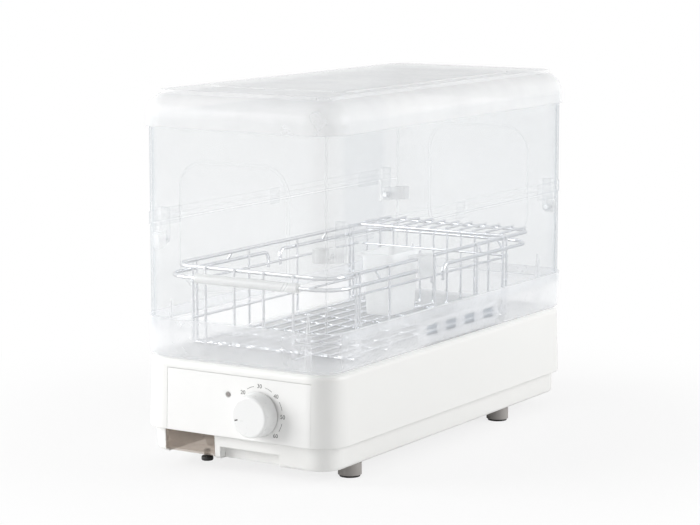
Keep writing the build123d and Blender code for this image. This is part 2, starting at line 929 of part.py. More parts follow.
def hinge_sockets():
    body = ring(wall_thick, wall_thick + socket_depth, socket_low, socket_low + socket_height)
    body &= span(half_width - socket_span, wall_width, -wall_depth, -ear_y - side_gap, 0, top_z)
    slot_half = pin_radius + pin_play
    front = -ear_y - pin_length
    slot = level(slot_half, pivot_x, pivot_z, front, 0)
    slot += span(pivot_x - slot_half, pivot_x + slot_half, front, 0, pivot_z, top_z)
    return group(four_corners(body - slot))


# Lid
def hinge_pins():
    tip = -ear_y - pin_length + ear_width + pin_play
    pin = level(pin_radius, pivot_x, pivot_z, tip, -ear_y + ear_width)
    return group(four_corners(pin))


def lid_ear():
    """Ear that hangs inside the wall and holds a hinge pin, at the front right."""
    inner = pivot_x - ear_radius
    outer = half_width - wall_thick - side_gap
    low = span(inner, outer, -ear_y, -ear_y + ear_width, pivot_z, lip_z + ear_rise)
    high = span(inner, half_width - wall_thick / 2, -ear_y, -ear_y + ear_width, lip_z, lip_z + ear_rise)
    foot = level(ear_radius, pivot_x, pivot_z, -ear_y, -ear_y + ear_width)
    return fuse([low, high, foot]) - level(pin_radius + bore_gap, pivot_x, pivot_z, -wall_depth, 0)


def lid_right_side():
    body = ring(0, wall_thick, lip_z, wall_high_z)
    body += ring(-lip_rise, wall_thick / 2, lip_z, lip_z + lip_height)
    groove_z = lip_z + lip_groove_height
    body -= ring(-lip_rise - overrun, -lip_rise / 2, groove_z, groove_z + lip_groove)
    body &= side_zone(side_gap / 2)
    ear = lid_ear()
    return body + [ear, mirror(ear, about=Plane.XZ)]


def lid_left_side():
    return mirror(lid_right_side(), about=Plane.YZ)


def lip_block(y0, y1):
    """Flat block on the outside of the right-hand lip."""
    block = ring(-lip_rise - grip_thick, -lip_rise, lip_z - grip_drop, lip_z + lip_height)
    return block & span(half_width / 2, wall_width, y0, y1, 0, top_z)


def lid_grips():
    return group(four_corners(lip_block(half_depth - grip_near_inset, half_depth - grip_far_inset)))


def lid_catches():
    return group(both_sides(lip_block(-catch_half, catch_half)))


def cap_form(skin):
    """Cap's domed outside, drawn in by skin."""
    high = top_z - cap_step - skin
    inset = skin - cap_overhang
    body = prism(inset, cap_z, high)
    return fillet(body.faces().sort_by(Axis.Z)[-1].edges(), cap_height - cap_step - cap_skirt - skin)


def cap_field(grow):
    """Plan of the raised field on top of the cap."""
    width = 2 * (half_width - cap_panel_side_inset + grow)
    depth = 2 * (half_depth - cap_panel_end_inset + grow)
    return RectangleRounded(width, depth, cap_panel_corner + grow)


def cap_ribs():
    inside = cap_form(wall_thick + weld_gap)
    inner_x = half_width - rib_reach
    high = span(inner_x, wall_width, 0, rib_thick, wall_high_z, top_z)
    tooth = span(inner_x, half_width - wall_thick, 0, rib_thick, wall_high_z - rib_tooth, wall_high_z)
    ribs = []
    for y in (rib_middle_y, half_depth - rib_corner_inset):
        ribs += four_corners(Pos(0, y - rib_thick / 2, 0) * (high + tooth))
    end_x = half_width - rib_end_inset
    ribs += four_corners(span(end_x - rib_thick / 2, end_x + rib_thick / 2,
                              -wall_depth, -half_depth + rib_reach, wall_high_z + overrun, top_z))
    return group([rib & inside for rib in ribs])


def lid_cap():
    body = cap_form(0)
    body += prism(cap_plate_inset, cap_z + cap_skirt, top_z)
    body += extrude(Pos(0, 0, top_z) * cap_field(0), cap_groove_depth / 2)
    trench = extrude(Pos(0, 0, top_z - cap_groove_depth) * (cap_field(cap_groove) - cap_field(0)), cap_step)
    body -= trench
    return body - cap_form(wall_thick)


# Rack
def side_ys(shares):
    """Places of side wires as shares of the way from the first to the last."""
    return [side_first_y + (side_last_y - side_first_y) * share for share in shares]


def line_xs():
    return [line_last_x * (2 * count / (line_wires - 1) - 1) for count in range(line_wires)]


def rack_upper_rim():
    length = rim_front + rim_rear
    outline = Pos(0, (rim_rear - rim_front) / 2, rim_z) * RectangleRounded(2 * rim_half, length, rim_corner)
    path = outline.face().outer_wire()
    section = Plane(origin=path @ 0, z_dir=path % 0) * Circle(rim_radius)
    return sweep(section, path=path)


def loop(end_y, stop_y):
    """Lower rim round one end of the rack, with both ends bent down."""
    corner = rim_corner + loop_half - rim_half
    turned = [(-loop_half, stop_y, loop_end_z), (-loop_half, stop_y, loop_z), (-loop_half, end_y, loop_z),
              (loop_half, end_y, loop_z), (loop_half, stop_y, loop_z), (loop_half, stop_y, loop_end_z)]
    return wire(rim_radius, turned, [loop_bend, corner, corner, loop_bend])


def rack_front_loop():
    return loop(-loop_front, junction_y - junction_half)


def rack_rear_loop():
    return loop(half_depth - rear_loop_inset, junction_y + junction_half)


def side_grid(shares):
    """Right-hand wire side with an upright at each share of its length."""
    top = rim_z + thin_radius
    uprights = []
    for y in side_ys(shares):
        points = [(upright, y, top), (upright, y, cross_z), (upright - rack_leg, y, cross_z)]
        uprights.append(wire(thin_radius, points, rack_bend))
    inner = upright - 2 * thin_radius + weld_sink
    rails = [level(thin_radius, inner, z, side_first_y - side_end, side_last_y + side_end)
             for z in (mid_z, rail_z)]
    return fuse(uprights + rails)


def rack_right_grid():
    return side_grid(right_wire_shares)


def rack_left_grid():
    return mirror(side_grid(left_wire_shares), about=Plane.YZ)


def end_upright(x, plane_y, foot_y, top):
    """Upright wire of the front or rear, standing in plane_y with its foot bent to foot_y."""
    return wire(thin_radius, [(x, plane_y, top), (x, plane_y, long_z), (x, foot_y, long_z)], rack_bend)


def rack_front_grid():
    foot_y = -upright_front + rack_leg
    return group([end_upright(line_xs()[line], -upright_front, foot_y, rim_z + thin_radius)
                  for line in front_lines])


def rack_rear_grid():
    top = short_z - thin_radius - weld_gap
    uprights = [end_upright(x, rear_side_y, rear_side_y - rack_leg, top) for x in line_xs()]
    inner = rear_side_y - 2 * thin_radius + weld_sink
    reach = line_last_x + rack_bend
    return fuse(uprights + [rod(thin_radius, (-reach, inner, mid_z), (reach, inner, mid_z))])


def rack_floor():
    reach = upright - rack_leg - weld_gap
    shares = sorted(set(left_wire_shares + right_wire_shares))
    crosses = [rod(thin_radius, (-reach, y, cross_z), (reach, y, cross_z)) for y in side_ys(shares)]
    rear = rear_side_y - rack_leg - weld_gap
    longs = []
    for line, x in enumerate(line_xs()):
        front = -upright_front + rack_leg + weld_gap if line in front_lines else side_first_y - side_end
        longs.append(level(thin_radius, x, long_z, front, rear))
    return fuse(crosses + longs)


def rack_links():
    """Short wires that tie the upper rim to the lower loops."""
    run = Vector(loop_half - rim_half, 0, loop_z - rim_z)
    ease = run.normalized() * (rim_radius + weld_gap)
    links = []
    for side, shares in ((1, right_link_shares), (-1, left_link_shares)):
        for y in side_ys(shares):
            start = Vector(rim_half, y, rim_z) + ease
            end = Vector(loop_half, y, loop_z) - ease
            link = rod(link_radius, tuple(start), tuple(end))
            links.append(link if side > 0 else mirror(link, about=Plane.YZ))
    return group(links)


def rim_edge(x):
    """How far to the rear the upper rim reaches at x."""
    past = max(0, abs(x) - rim_half + rim_corner)
    return rim_rear - rim_corner + math.sqrt(rim_corner ** 2 - past ** 2)


def cup_shelf():
    front_y = rear_side_y - thin_radius - rim_radius - weld_gap
    front_z = short_z - rim_radius - thin_radius + weld_sink
    reach = rim_half - rim_radius - weld_gap
    bar = rod(rim_radius, (-reach, front_y, front_z), (reach, front_y, front_z))
    shorts = [level(thin_radius, x, short_z, front_y - rim_radius, rim_edge(x) + rim_radius)
              for x in line_xs()]
    return fuse([bar] + shorts)


def handle_grip():
    tube = rod(grip_tube_radius, (-grip_half, -loop_front, loop_z), (grip_half, -loop_front, loop_z))
    tube = fillet(tube.edges(), grip_tube_radius / 4)
    start = (-wall_width, -loop_front, loop_z)
    tube -= rod(rim_radius + weld_gap, start, (wall_width, -loop_front, loop_z))
    return tube - span(-wall_width, wall_width, -upright_front - thin_radius - weld_gap, 0, 0, top_z)


# Cutlery cup
def cutlery_block(inset, low, high):
    width = cutlery_right - cutlery_left
    depth = cutlery_rear - cutlery_front
    middle = Pos((cutlery_left + cutlery_right) / 2, (cutlery_front + cutlery_rear) / 2, 0)
    faces = []
    for z, draw in ((low, inset + cutlery_taper), (high, inset)):
        outline = RectangleRounded(width - 2 * draw, depth - 2 * draw, cutlery_corner - inset)
        faces.append((Pos(0, 0, z) * middle * outline).face())
    return loft(faces, ruled=True)


def cutlery_cup():
    body = cutlery_block(0, cutlery_low, cutlery_high)
    rim = span(cutlery_left - cutlery_flange, cutlery_right,
               cutlery_front - cutlery_flange, cutlery_rear + cutlery_flange,
               cutlery_high - cutlery_wall, cutlery_high)
    body += fillet(rim.edges().filter_by(Axis.Z), cutlery_flange)
    body -= cutlery_block(cutlery_wall, cutlery_low + cutlery_wall, cutlery_high + weld_sink)
    middle = (cutlery_left + cutlery_right) / 2
    for share in drain_row_shares:
        y = cutlery_front + (cutlery_rear - cutlery_front) * share
        body -= post(cutlery_hole_radius, middle, y, 0, cutlery_low + 2 * cutlery_wall)
    outer = loop_half + rim_radius + side_gap
    roof = rim_z + rim_radius + side_gap
    tip = outer + hook_thick
    hook_front = cutlery_front + hook_setback
    arm = span(cutlery_right - cutlery_wall, tip, hook_front, cutlery_rear, roof, roof + hook_thick)
    drop = span(outer, tip, hook_front, cutlery_rear, roof - hook_drop, roof + hook_thick)
    return body + [arm, drop]


# The object's middle from front to rear is its origin
front_reach = -knob_faces()[1]
rear_reach = bushing_end()
frame_shift = (front_reach - rear_reach) / 2

nodes = [
    base_housing, screw_posts, base_bottom, drain_bay, control_panel, lamp_lens, power_lamp, timer_case,
    timer_shaft, timer_knob, feet, foot_pads, case_screws, drain_cup, drain_plug, drain_pipe, fan_scroll,
    fan_wheel, motor_spindle, fan_motor, motor_bracket, motor_screws, heater_element, thermostat,
    thermal_fuse, intake_grille, intake_filter, terminal_block, cord_bushing, drip_tray, air_hood,
    front_panel, rear_panel, left_wall, right_wall, hinge_sockets, hinge_pins, lid_right_side,
    lid_left_side, lid_grips, lid_catches, lid_cap, cap_ribs,
    rack_upper_rim, rack_front_loop, rack_rear_loop, rack_right_grid, rack_left_grid, rack_front_grid,
    rack_rear_grid, rack_floor, rack_links, cup_shelf, handle_grip, cutlery_cup,
]

os.makedirs("parts", exist_ok=True)
for node in nodes:
    export_step(Pos(0, frame_shift, 0) * node(), f"parts/{node.__name__}.step")
print(f"frame shift {frame_shift:.3f} mm, pivot x {pivot_x:.2f} z {pivot_z:.2f}, dial {dial_x} {dial_z}")
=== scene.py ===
"""Looks of the slim dish dryer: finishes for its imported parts, dial print, louvre meshes and stage."""
import math

import bmesh
import bpy
from bpy.props import FloatProperty, FloatVectorProperty, IntProperty, PointerProperty
from mathutils import Matrix, Vector


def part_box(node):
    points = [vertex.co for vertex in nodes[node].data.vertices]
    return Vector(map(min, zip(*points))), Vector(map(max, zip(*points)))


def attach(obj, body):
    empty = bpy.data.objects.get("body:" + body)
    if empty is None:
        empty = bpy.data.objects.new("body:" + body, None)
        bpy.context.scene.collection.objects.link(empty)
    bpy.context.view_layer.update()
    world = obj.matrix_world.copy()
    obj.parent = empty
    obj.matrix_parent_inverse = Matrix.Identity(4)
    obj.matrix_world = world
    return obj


bl_info = {
    "name": "Dish dryer looks",
    "version": (1, 0, 0),
    "blender": (4, 5, 0),
    "location": "3D View > Sidebar > Dish dryer",
    "description": "Finishes, dial print and stage for the slim dish dryer",
    "category": "Object",
}

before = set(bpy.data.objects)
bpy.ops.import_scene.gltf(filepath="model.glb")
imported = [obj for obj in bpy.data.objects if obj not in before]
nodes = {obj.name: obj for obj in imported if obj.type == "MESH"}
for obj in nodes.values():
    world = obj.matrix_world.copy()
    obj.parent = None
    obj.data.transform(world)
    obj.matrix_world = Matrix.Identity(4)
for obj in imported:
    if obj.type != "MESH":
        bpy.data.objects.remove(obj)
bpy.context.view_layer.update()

# Optics of the plastics
PLASTIC_IOR = 1.49
CLEAR_THROUGH = (0.993, 0.994, 0.994)
# Painted shade: grey-blue over what is seen through clear plastic at grazing angles
CLEAR_GRAZING_PAINTED_SHADE = (0.66, 0.70, 0.74)
FACING_BLEND = 0.3
FACING_POWER = 1.6

# Radii, in metres, over which the shading treats an edge
MOULDED_EDGE = 0.0008
RUBBER_EDGE = 0.0005
METAL_EDGE = 0.0003
# Radius of the painted edge lines on the clear plastics
PAINTED_EDGE_LINE_RADIUS = 0.0009

# How fast the haze grows towards a sharp edge; this haze is painted edge lines, standing in for the light
# the edges refract
PAINTED_EDGE_LINE_GAIN = 2.5

# Depths of the fine bumps, in metres
PLASTIC_BUMP = 0.0001
METAL_BUMP = 0.00005
FOAM_BUMP = 0.0006

# Scales of the finishes' textures, in cycles per metre
MOULDED_CLOUDS = 9.0
MOULDED_GLOSS = 160.0
MOULDED_GRAIN = 2600.0
HAZE_CLOUDS = 14.0
MILK_CLOUDS = 30.0
CLEAR_GLOSS = 220.0
METAL_CLOUDS = 60.0
METAL_GRAIN = 1400.0
RUBBER_CLOUDS = 300.0
RUBBER_GLOSS = 900.0
RUBBER_GRAIN = 3000.0
FOAM_CELLS = 700.0
PAPER_CLOUDS = 3.0

# The part of the noise's range that is used
NOISE_LOW = 0.3
NOISE_HIGH = 0.7

# The lamp's ring stops just short of a full turn, so its ends stay apart
RING_TURN = math.radians(359.9)

# Camera sensor in millimetres, and how many clear faces a ray may pass
SENSOR_WIDTH = 36.0
CLEAR_LAYERS = 40

# Height of a direction, from 0 to 1, at which the sky reaches its overhead light
DOME_RISE = 0.8


def colour(name, description, default):
    return FloatVectorProperty(name=name, description=description, default=default, size=3,
                               subtype="COLOR", min=0.0, max=1.0)


def length(name, description, default):
    return FloatProperty(name=name, description=description, default=default, unit="LENGTH",
                         subtype="DISTANCE", precision=5)


class DryerFinishes(bpy.types.PropertyGroup):
    shell: colour("Shell", "Satin white of the base and its bottom", (0.86, 0.86, 0.845))
    panel: colour("Panel", "Control panel white", (0.88, 0.88, 0.87))
    knob: colour("Knob", "Timer knob white", (0.86, 0.865, 0.86))
    clear: colour("Clear walls", "Haze of the clear walls", (0.97, 0.97, 0.97))
    cap: colour("Cap", "Haze of the lid cap", (0.98, 0.98, 0.98))
    frost: colour("Tray", "Frosted drip tray", (0.98, 0.983, 0.99))
    # Brown partly the cup's smoke tint and partly painted shade of the dark bay it sits in
    smoke_and_painted_shade: colour("Drain cup", "Smoky brown of the drain cup", (0.66, 0.59, 0.53))
    rubber: colour("Rubber", "Black rubber of plug and pads", (0.012, 0.012, 0.012))
    chrome: colour("Chrome", "Plated wire", (0.82, 0.83, 0.85))
    socket: colour("Sockets", "White hinge sockets", (0.98, 0.98, 0.98))
    cup: colour("Cutlery cup", "Translucent white of the cup", (0.99, 0.99, 0.99))
    grip: colour("Rack grip", "White tube on the rack", (0.88, 0.88, 0.87))
    # Greyish white feet; the darker grey is painted shade from under the base
    foot_with_painted_shade: colour("Feet", "Warm grey of the feet", (0.36, 0.34, 0.325))
    louvre: colour("Louvres", "Bluish grey of the hood's meshes", (0.30, 0.36, 0.43))
    ink: colour("Print", "Grey ink of the dial", (0.075, 0.072, 0.068))
    screw: colour("Screws", "Steel of the case screws", (0.55, 0.55, 0.56))
    bushing: colour("Bushing", "Grey of the cord bushing", (0.60, 0.60, 0.59))
    lens: colour("Lamp lens", "Smoky lens over the power lamp", (0.42, 0.39, 0.37))
    lamp: colour("Lamp", "Glass of the power lamp", (0.8, 0.75, 0.7))
    ring: colour("Lamp ring", "Grey of the ring round the lens", (0.40, 0.39, 0.38))
    pipe: colour("Drain pipe", "Off-white of the pipe", (0.75, 0.75, 0.74))
    pin: colour("Hinge pins", "Bright steel of the pins", (0.86, 0.86, 0.87))
    dark: colour("Dark moulding", "Black of the fan and timer mouldings", (0.03, 0.03, 0.032))
    motor: colour("Motor", "Steel of the motor", (0.52, 0.52, 0.53))
    heater: colour("Heater", "Alloy of the heater", (0.62, 0.62, 0.63))
    foam: colour("Filter", "Dark foam of the intake filter", (0.03, 0.03, 0.032))


class DryerDial(bpy.types.PropertyGroup):
    first: IntProperty(name="First number", description="Minutes at the first mark", default=20)
    step: IntProperty(name="Step", description="Minutes between numbers", default=10)
    count: IntProperty(name="Numbers", description="How many numbers", default=5)
    start: FloatProperty(name="Start angle", description="Angle of the first number from the right",
                         default=math.radians(135), subtype="ANGLE")
    turn: FloatProperty(name="Turn", description="Angle between numbers", default=math.radians(45),
                        subtype="ANGLE")
    radius: length("Number circle", "Radius of the number circle", 0.0267)
    size: length("Number size", "Type size of the numbers", 0.0056)
    line: length("Arc width", "Width of the arcs between numbers", 0.00035)
    ink_rise: length("Ink", "How far the print stands off the panel", 0.00006)
    arc_half: FloatProperty(name="Arc half", description="Half the angle of each arc between numbers",
                            default=0.16, subtype="ANGLE")
    mark_radius: length("Mark circle", "Radius of the middle of the knob's mark", 0.0144)
    mark_length: length("Mark length", "Length of the knob's mark", 0.0036)
    mark_start: FloatProperty(name="Mark start", description="Angle where the knob's mark starts",
                              default=math.radians(193.2), subtype="ANGLE")
    mark_end: FloatProperty(name="Mark end", description="Angle where the knob's mark ends",
                            default=math.radians(198.0), subtype="ANGLE")
    ring_radius: length("Lamp ring", "Radius of the ring round the lamp", 0.0026)
    ring_width: length("Lamp ring width", "Width of the ring round the lamp", 0.0004)
    ring_rise: length("Lamp ring rise", "How far the lamp's ring stands off the panel", 0.0003)
    flare: length("Front flare", "How far the front of the base leans back over its height", 0.0023)


class DryerLouvres(bpy.types.PropertyGroup):
    count: IntProperty(name="Windows", description="Windows in the air hood", default=4)
    rise: length("Rise", "Height of the windows over the bottom of the hood", 0.007)
    height: length("Height", "Height of the windows", 0.011)
    thick: length("Thickness", "Thickness of each mesh", 0.0008)
    bars: IntProperty(name="Bars", description="Upright bars in each mesh", default=9)
    bar_share: FloatProperty(name="Bar share", description="Width of a bar as a share of its step",
                             default=0.6, subtype="FACTOR")
    window_share: FloatProperty(name="Window share", description="Width of a window, as a share of pitch",
                                default=1 / 1.5, subtype="FACTOR")


class DryerStage(bpy.types.PropertyGroup):
    camera: FloatVectorProperty(name="Camera", description="Camera place", subtype="TRANSLATION",
                                unit="LENGTH", default=(1.2639, -2.042954, 0.5407))
    target: FloatVectorProperty(name="Target", description="Point in the middle of the picture",
                                subtype="TRANSLATION", unit="LENGTH", default=(-0.0188, 0.003046, 0.1749))
    lens: FloatProperty(name="Lens", description="Focal length in millimetres", default=121.37)
    left_lamp: FloatVectorProperty(name="Left lamp", description="Place of the left softbox",
                                   subtype="TRANSLATION", unit="LENGTH", default=(-1.65, -1.32, 0.84))
    right_lamp: FloatVectorProperty(name="Right lamp", description="Place of the right softbox",
                                    subtype="TRANSLATION", unit="LENGTH", default=(1.87, 0.88, 0.84))
    lamp_size: length("Lamp size", "Side of each softbox", 1.4)
    lamp_aim: length("Lamp aim", "Height that the softboxes point at", 0.18)
    left_power: FloatProperty(name="Left power", description="Watts of the left softbox", default=42.0)
    right_power: FloatProperty(name="Right power", description="Watts of the right softbox", default=26.0)
    dome_low: FloatProperty(name="Dome low", description="Light of the sky at the horizon", default=0.60)
    dome_high: FloatProperty(name="Dome high", description="Light of the sky overhead", default=0.58)
    floor_reach: length("Floor reach", "Half the side of the floor", 4.0)
    fade_start: length("Fade start", "Distance where the floor starts to turn plain white", 0.22)
    fade_end: length("Fade end", "Distance where the floor is plain white", 0.6)
    fade_white: FloatProperty(name="Fade white", description="Share of plain white close to the dryer",
                              default=0.8, subtype="FACTOR")


# Node helpers
def link(tree, source, target):
    tree.links.new(source, target)


def add(tree, kind, **settings):
    node = tree.nodes.new(kind)
    for key, value in settings.items():
        setattr(node, key, value)
    return node


def begin(name):
    """New material with one shader on its output."""
    material = bpy.data.materials.new(name)
    material.use_nodes = True
    tree = material.node_tree
    tree.nodes.clear()
    output = add(tree, "ShaderNodeOutputMaterial")
    shader = add(tree, "ShaderNodeBsdfPrincipled")
    link(tree, shader.outputs[0], output.inputs["Surface"])
    return material, tree, shader, output


def grain(tree, scale, detail=2.0):
    """Noise over the part's own coordinates, in cycles per metre."""
    place = add(tree, "ShaderNodeTexCoord")
    noise = add(tree, "ShaderNodeTexNoise")
    noise.inputs["Scale"].default_value = scale
    noise.inputs["Detail"].default_value = detail
    link(tree, place.outputs["Object"], noise.inputs["Vector"])
    return noise.outputs["Fac"]


def spread(tree, source, low, high):
    """Maps noise to a range of values."""
    ranged = add(tree, "ShaderNodeMapRange")
    ranged.inputs["From Min"].default_value = NOISE_LOW
    ranged.inputs["From Max"].default_value = NOISE_HIGH
    ranged.inputs["To Min"].default_value = low
    ranged.inputs["To Max"].default_value = high
    link(tree, source, ranged.inputs["Value"])
    return ranged.outputs["Result"]


def blend(tree, fac, first, second):
    """Mixes two colours by a factor."""
    mix = add(tree, "ShaderNodeMix", data_type="RGBA")
    link(tree, fac, mix.inputs["Factor"])
    mix.inputs["A"].default_value = (*first, 1.0)
    mix.inputs["B"].default_value = (*second, 1.0)
    return mix.outputs["Result"]


def shade(tint, factor):
    return tuple(min(1.0, part * factor) for part in tint)


def tinted(tree, shader, source, tint, low, high):
    """Lets the base colour vary between two shades of a tint."""
    link(tree, blend(tree, source, shade(tint, low), shade(tint, high)), shader.inputs["Base Color"])


def glossed(tree, shader, source, low, high):
    """Lets the roughness vary between two values."""
    link(tree, spread(tree, source, low, high), shader.inputs["Roughness"])


def rounded_edges(tree, shader, radius, source, bump, depth=PLASTIC_BUMP):
    """Softens sharp edges in the shading and adds a fine bump."""
    bevel = add(tree, "ShaderNodeBevel", samples=4)
    bevel.inputs["Radius"].default_value = radius
    relief = add(tree, "ShaderNodeBump")
    relief.inputs["Strength"].default_value = bump
    relief.inputs["Distance"].default_value = depth
    link(tree, source, relief.inputs["Height"])
    link(tree, bevel.outputs["Normal"], relief.inputs["Normal"])
    link(tree, relief.outputs["Normal"], shader.inputs["Normal"])


def edge_mask(tree, radius, gain):
    """Bright along sharp edges and corners, dark on flat faces: where the clear plastics get painted edge
    lines.
    """
    bevel = add(tree, "ShaderNodeBevel", samples=6)
    bevel.inputs["Radius"].default_value = radius
    geometry = add(tree, "ShaderNodeNewGeometry")
    dot = add(tree, "ShaderNodeVectorMath", operation="DOT_PRODUCT")
    link(tree, bevel.outputs["Normal"], dot.inputs[0])
    link(tree, geometry.outputs["Normal"], dot.inputs[1])
    ranged = add(tree, "ShaderNodeMapRange")
    ranged.inputs["From Min"].default_value = 1.0
    ranged.inputs["From Max"].default_value = 1.0 - 1.0 / gain
    link(tree, dot.outputs["Value"], ranged.inputs["Value"])
    return ranged.outputs["Result"]


def background_rays(tree):
    """Socket that is one for rays seen straight or through clear parts, and the light path node."""
    path = add(tree, "ShaderNodeLightPath")
    seen = add(tree, "ShaderNodeMath", operation="MAXIMUM")
    link(tree, path.outputs["Is Camera Ray"], seen.inputs[0])
    link(tree, path.outputs["Is Transmission Ray"], seen.inputs[1])
    return seen.outputs[0], path


# Finishes
def moulded(name, tint, rough, bump=0.06, coat=0.0):
    """Opaque moulded plastic, faintly cloudy, with a fine grain."""
    material, tree, shader, _ = begin(name)
    tinted(tree, shader, grain(tree, MOULDED_CLOUDS, detail=3.0), tint, low=0.985, high=1.012)
    glossed(tree, shader, grain(tree, MOULDED_GLOSS), low=rough * 0.9, high=rough * 1.12)
    shader.inputs["IOR"].default_value = PLASTIC_IOR
    shader.inputs["Coat Weight"].default_value = coat
    rounded_edges(tree, shader, MOULDED_EDGE, grain(tree, MOULDED_GRAIN, detail=1.0), bump)
    return material


def clear_plastic(name, tint, haze, rim_haze, rough, through, grazing_painted_shade, glow=0.0, painted_edge_lines=0.0):
    """See-through plastic: faint haze that grows at grazing angles, where painted shade greys what is
    behind it.
    """
    material, tree, shader, output = begin(name)
    shader.inputs["IOR"].default_value = PLASTIC_IOR
    facing = add(tree, "ShaderNodeLayerWeight")
    facing.inputs["Blend"].default_value = FACING_BLEND
    steep = add(tree, "ShaderNodeMath", operation="POWER")
    link(tree, facing.outputs["Facing"], steep.inputs[0])
    steep.inputs[1].default_value = FACING_POWER
    veil = spread(tree, grain(tree, HAZE_CLOUDS, detail=3.0), low=haze * 0.9, high=haze * 1.1)
    amount = add(tree, "ShaderNodeMath", operation="MULTIPLY_ADD", use_clamp=True)
    link(tree, steep.outputs[0], amount.inputs[0])
    amount.inputs[1].default_value = rim_haze
    link(tree, veil, amount.inputs[2])
    strength = amount.outputs[0]
    # Painted edge lines: haze along sharp edges that stands in for the light the edges refract
    if painted_edge_lines:
        with_painted_lines = add(tree, "ShaderNodeMath", operation="MULTIPLY_ADD", use_clamp=True)
        link(tree, edge_mask(tree, PAINTED_EDGE_LINE_RADIUS, PAINTED_EDGE_LINE_GAIN), with_painted_lines.inputs[0])
        with_painted_lines.inputs[1].default_value = painted_edge_lines
        link(tree, strength, with_painted_lines.inputs[2])
        strength = with_painted_lines.outputs[0]
    tinted(tree, shader, grain(tree, MILK_CLOUDS), tint, low=0.985, high=1.01)
    glossed(tree, shader, grain(tree, CLEAR_GLOSS), low=rough * 0.85, high=rough * 1.2)
    front = shader.outputs[0]
    if glow:
        milk = add(tree, "ShaderNodeBsdfTranslucent")
        milk.inputs["Color"].default_value = (*shade(tint, 1.06), 1.0)
        soft = add(tree, "ShaderNodeMixShader")
        soft.inputs[0].default_value = glow
        link(tree, front, soft.inputs[1])
        link(tree, milk.outputs[0], soft.inputs[2])
        front = soft.outputs[0]
    window = add(tree, "ShaderNodeBsdfTransparent")
    # Painted shade: what is seen through turns grey at grazing angles
    link(tree, blend(tree, steep.outputs[0], through, grazing_painted_shade), window.inputs["Color"])
    mix = add(tree, "ShaderNodeMixShader")
    link(tree, strength, mix.inputs[0])
    link(tree, window.outputs[0], mix.inputs[1])
    link(tree, front, mix.inputs[2])
    link(tree, mix.outputs[0], output.inputs["Surface"])
    return material


def clear_sheet(name, tint):
    """Clear sheet of the walls and the lid's sides, with painted edge lines as more haze along its sharp
    edges.
    """
    return clear_plastic(name, tint, haze=0.10, rim_haze=0.22, rough=0.08, through=CLEAR_THROUGH,
                         grazing_painted_shade=CLEAR_GRAZING_PAINTED_SHADE, painted_edge_lines=0.25)


def metal(name, tint, rough, bump=0.0):
    """Bare or plated metal, faintly cloudy, with a fine grain in its gloss and bump."""
    material, tree, shader, _ = begin(name)
    shader.inputs["Metallic"].default_value = 1.0
    tinted(tree, shader, grain(tree, METAL_CLOUDS, detail=3.0), tint, low=0.93, high=1.05)
    fine = grain(tree, METAL_GRAIN)
    glossed(tree, shader, fine, low=rough * 0.75, high=rough * 1.3)
    rounded_edges(tree, shader, METAL_EDGE, fine, bump, METAL_BUMP)
    return material


def rubber(name, tint):
    """Dull black rubber with a fine grain."""
    material, tree, shader, _ = begin(name)
    tinted(tree, shader, grain(tree, RUBBER_CLOUDS), tint, low=1.0, high=2.2)
    glossed(tree, shader, grain(tree, RUBBER_GLOSS), low=0.45, high=0.62)
    rounded_edges(tree, shader, RUBBER_EDGE, grain(tree, RUBBER_GRAIN), bump=0.12)
    return material


def foam(name, tint):
    """Dark foam with open pores."""
    material, tree, shader, _ = begin(name)
    place = add(tree, "ShaderNodeTexCoord")
    cells = add(tree, "ShaderNodeTexVoronoi")
    cells.inputs["Scale"].default_value = FOAM_CELLS
    link(tree, place.outputs["Object"], cells.inputs["Vector"])
    pores = cells.outputs["Distance"]
    # Painted shade: the colour darkens into the pits of the pores
    tinted(tree, shader, pores, tint, low=0.4, high=1.8)
    glossed(tree, shader, pores, low=0.8, high=0.95)
    rounded_edges(tree, shader, RUBBER_EDGE, pores, bump=0.8, depth=FOAM_BUMP)
    return material


# Mesh helpers
def bar_row(x, y, width, low, louvres):
    """Frame of thin upright bars, standing in the plane of x."""
    work = bmesh.new()
    thick = louvres.thick
    height = louvres.height
    step = width / louvres.bars
    half_bar = step * louvres.bar_share / 2
    parts = [(y - width / 2 + step * (count + 0.5), half_bar, low + height / 2, height / 2)
             for count in range(louvres.bars)]
    parts += [(y, width / 2, low + thick, thick), (y, width / 2, low + height - thick, thick)]
    for middle, half, level, tall in parts:
        made = bmesh.ops.create_cube(work, size=2.0)["verts"]
        for vert in made:
            unit = vert.co.copy()
            vert.co = Vector((x + unit.x * thick / 2, middle + unit.y * half, level + unit.z * tall))
    mesh = bpy.data.meshes.new("bars")
    work.to_mesh(mesh)
    work.free()
    return mesh


# Placing
def box_middle(name):
    """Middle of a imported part's box."""
    low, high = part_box(name)
    return (low + high) / 2


def finish_nodes(material, *names):
    """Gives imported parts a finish."""
    for name in names:
        data = nodes[name].data
        data.materials.clear()
        data.materials.append(material)


def place_piece(name, mesh, material, body):
    """Adds a new piece that rides on a body."""
    mesh.materials.clear()
    mesh.materials.append(material)
    piece = bpy.data.objects.new(name, mesh)
    bpy.context.scene.collection.objects.link(piece)
    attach(piece, body)


def front_seat(x, z, flare, out):
    """Frame on the sloped front of the base: x to the right, y up the slope, z out of the panel."""
    low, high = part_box("base_housing")
    slope = flare / (high.z - low.z)
    y = low.y + slope * (z - low.z)
    up = Vector((0.0, slope, 1.0)).normalized()
    side = Vector((1.0, 0.0, 0.0))
    outward = side.cross(up)
    turn = Matrix((side, up, outward)).transposed().to_4x4()
    return Matrix.Translation(Vector((x, y, z)) + outward * out) @ turn


def aim(holder, place, target):
    """Puts a lamp or the camera at a place and turns it to a target."""
    holder.location = place
    turn = Vector(target) - Vector(place)
    holder.rotation_euler = turn.to_track_quat("-Z", "Y").to_euler()


